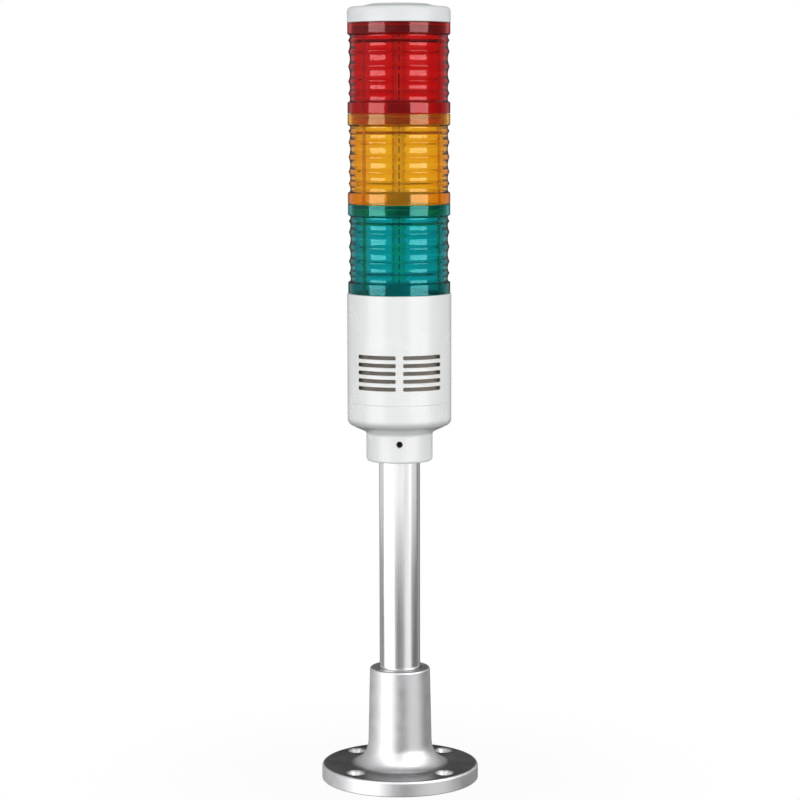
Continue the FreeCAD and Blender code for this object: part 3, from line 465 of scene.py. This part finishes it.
# ---------------------------------------------------------------- stage
floor_mesh = bpy.data.meshes.new("floor")
bm = bmesh.new()
bmesh.ops.create_circle(bm, cap_ends=True, radius=6.0, segments=64)
bm.to_mesh(floor_mesh)
bm.free()
floor = bpy.data.objects.new("floor", floor_mesh)
bpy.context.scene.collection.objects.link(floor)
fm = bpy.data.materials.new("floor")
fm.use_nodes = True
t = Tree(fm.node_tree)
fm.node_tree.nodes.clear()
out = t.add("ShaderNodeOutputMaterial")
dif = t.add("ShaderNodeBsdfDiffuse")
dif.inputs["Color"].default_value = (0.93, 0.93, 0.93, 1)
emi = t.add("ShaderNodeEmission")
emi.inputs["Color"].default_value = (1, 1, 1, 1)
emi.inputs["Strength"].default_value = 1.0
mixs = t.add("ShaderNodeMixShader")
c = t.add("ShaderNodeTexCoord")
ln = t.add("ShaderNodeVectorMath", operation="LENGTH")
t.link(c.outputs["Object"], ln.inputs[0])
t.link(t.ramp(ln.outputs["Value"], 0.05, 0.20, 0.91, 1.0), mixs.inputs[0])
t.link(dif.outputs[0], mixs.inputs[1])
t.link(emi.outputs[0], mixs.inputs[2])
t.link(mixs.outputs[0], out.inputs[0])
floor_mesh.materials.append(fm)
floor.visible_diffuse = False
floor.visible_glossy = False
floor.visible_transmission = False

# ---------------------------------------------------------------- light
scene = bpy.context.scene
world = bpy.data.worlds.new("studio")
scene.world = world
world.use_nodes = True
t = Tree(world.node_tree)
world.node_tree.nodes.clear()
c = t.add("ShaderNodeTexCoord")
sep = t.add("ShaderNodeSeparateXYZ")
t.link(c.outputs["Generated"], sep.inputs[0])
DEG = math.pi / 180
az = t.math("ARCTAN2", sep.outputs[0], t.math("MULTIPLY", sep.outputs[1], -1.0))
el = t.math("ARCSINE", sep.outputs[2])


def band(value, lo, hi, soft):
    up = t.ramp(value, (lo - soft) * DEG, (lo + soft) * DEG)
    down = t.ramp(value, (hi - soft) * DEG, (hi + soft) * DEG, 1.0, 0.0)
    return t.math("MULTIPLY", up, down)


def lamp(lo, hi, soft, el_lo, el_hi, el_soft, power, mirrored=False):
    a = t.math("ABSOLUTE", az) if mirrored else az
    return t.math("MULTIPLY", t.math("MULTIPLY", band(a, lo, hi, soft), band(el, el_lo, el_hi, el_soft)), power)


aaz = t.math("ABSOLUTE", az)
around = t.math("ADD", t.ramp(aaz, 5 * DEG, 60 * DEG, 0.24, 0.30), t.ramp(aaz, 110 * DEG, 160 * DEG, 0.0, -0.22))
overhead = t.ramp(el, 45 * DEG, 75 * DEG, 0.0, 1.0)
total = around
for part in (
    t.math("MULTIPLY", overhead, 0.4),
    lamp(-100, -20, 12, -34, 34, 12, 0.30),
    lamp(22, 70, 8, -26, 40, 10, 0.45),
    lamp(80, 116, 10, -40, 60, 12, -0.16),
    lamp(130, 150, 9, -20, 45, 9, 0.35, True),
):
    total = t.math("ADD", total, part)
light = t.add("ShaderNodeBackground")
t.link(total, light.inputs["Strength"])
light.inputs["Color"].default_value = (1.0, 1.0, 1.0, 1)
plain = t.add("ShaderNodeBackground")
plain.inputs["Color"].default_value = (1, 1, 1, 1)
path = t.add("ShaderNodeLightPath")
mixw = t.add("ShaderNodeMixShader")
t.link(t.math("MAXIMUM", path.outputs["Is Camera Ray"], path.outputs["Is Transmission Ray"]), mixw.inputs[0])
t.link(light.outputs[0], mixw.inputs[1])
t.link(plain.outputs[0], mixw.inputs[2])
outw = t.add("ShaderNodeOutputWorld")
t.link(mixw.outputs[0], outw.inputs[0])
scene.view_settings.view_transform = "Standard"
scene.view_settings.look = "None"



def soft_box(name, at, size, watts):
    """A wide soft light that lifts the matt surfaces and shows in no reflection."""
    d = bpy.data.lights.new(name, "AREA")
    d.shape = "DISK"
    d.size = size
    d.energy = watts
    o = bpy.data.objects.new(name, d)
    o.location = at
    o.rotation_euler = (Vector((0, 0, 0.25)) - Vector(at)).to_track_quat("-Z", "Y").to_euler()
    o.visible_glossy = False
    o.visible_transmission = False
    o.visible_camera = False
    scene.collection.objects.link(o)


def strip(name, azimuth, distance, z_lo, z_hi, wide, radiance, pieces, matt=False):
    """An upright softbox, side-on to the axis, set for some of the pieces."""
    tall = z_hi - z_lo
    d = bpy.data.lights.new(name, "AREA")
    d.shape = "RECTANGLE"
    d.size = wide
    d.size_y = tall
    d.energy = radiance * math.pi * wide * tall
    a = math.radians(azimuth)
    o = bpy.data.objects.new(name, d)
    o.location = (distance * math.sin(a), -distance * math.cos(a), (z_lo + z_hi) / 2)
    o.rotation_euler = (math.radians(90), 0.0, a)
    o.visible_camera = False
    o.visible_transmission = False
    o.visible_diffuse = matt
    scene.collection.objects.link(o)
    group = bpy.data.collections.new(name + "_pieces")
    for piece in pieces:
        group.objects.link(piece)
    o.light_linking.receiver_collection = group


soft_box("front_fill", (0.0, -2.2, 0.9), 1.8, 6.5)
soft_box("right_fill", (2.0, -0.9, 0.7), 1.6, 11.3)
soft_box("left_fill", (-2.0, -0.9, 0.7), 1.6, 7.5)
soft_box("back_fill", (0.2, 2.2, 1.2), 1.8, 17.0)
soft_box("top_fill", (0.0, 0.0, 2.2), 1.6, 6.0)
drums = [o for o in bpy.data.objects if o.name.startswith("lens_drum_")]
shells = [nodes["upper_housing"], nodes["lower_housing"], nodes["top_cap"]]
foot = [nodes["base_flange"]]
pole = [nodes["pole_tube"]]
strip("lens_left", -51, 1.0, 0.05, 0.65, 0.70, 7.0, drums)
strip("lens_right", 46, 1.0, 0.05, 0.65, 0.80, 7.0, drums)
green = [o for o in drums if o.name.endswith("green")]
strip("green_left", -51, 1.0, 0.05, 0.65, 0.70, 1.8, green)
strip("green_right", 46, 1.0, 0.05, 0.65, 0.80, 1.8, green)
strip("shell_left", -53, 1.0, -0.2, 0.7, 0.76, 2.4, shells, True)
strip("shell_right", 46, 1.0, -0.2, 0.7, 0.86, 2.0, shells, True)
strip("foot_left", -47, 1.0, -0.5, 3.4, 1.02, 2.2, foot)
strip("foot_left_side", -98, 1.0, -0.6, 1.6, 0.9, 0.27, foot)
strip("foot_right", 55, 1.0, -0.5, 0.22, 1.2, 0.66, foot)
strip("foot_right_high", 55, 1.0, 0.20, 3.2, 1.2, 3.0, foot)
strip("foot_front_high", 0, 1.0, 0.30, 3.0, 0.8, 0.8, foot)
strip("foot_front", 0, 1.2, -0.6, 0.6, 1.2, 0.08, foot)
strip("foot_far_left", -110, 1.2, -0.6, 2.0, 1.8, 0.22, foot)
strip("foot_far_right", 105, 1.2, -0.6, 2.0, 1.8, 0.17, foot)
strip("foot_far_right_high", 100, 1.2, 0.45, 2.6, 1.0, 0.6, foot)
strip("pole_left", -64, 1.0, -0.6, 0.7, 1.3, 1.6, pole)
strip("pole_right", 48, 1.0, -0.6, 0.7, 0.66, 0.42, pole)
strip("pole_right_high", 84, 1.0, -0.04, 0.4, 1.1, 0.9, pole)
strip("pole_left_upper", -64, 1.0, -0.04, 0.4, 1.3, 0.2, pole)
strip("pole_far_left_upper", -116, 1.0, -0.04, 0.4, 1.1, 0.55, pole)
strip("pole_right_upper", 48, 1.0, -0.04, 0.4, 0.66, 0.2, pole)
strip("pole_front", 0, 0.5, 0.045, 0.16, 0.5, 1.25, pole)

# ---------------------------------------------------------------- camera
cam_data = bpy.data.cameras.new("camera")
cam_data.sensor_width = 36.0
cam_data.lens = 112.41
cam = bpy.data.objects.new("camera", cam_data)
scene.collection.objects.link(cam)
cam.location = (0.0003, -1.350, 0.365)
cam.matrix_world = Matrix.Translation(cam.location) @ Matrix.Rotation(math.radians(90 - 6.562), 4, "X") @ Matrix.Rotation(math.radians(-0.10), 4, "Z")
scene.camera = cam

bpy.context.view_layer.update()
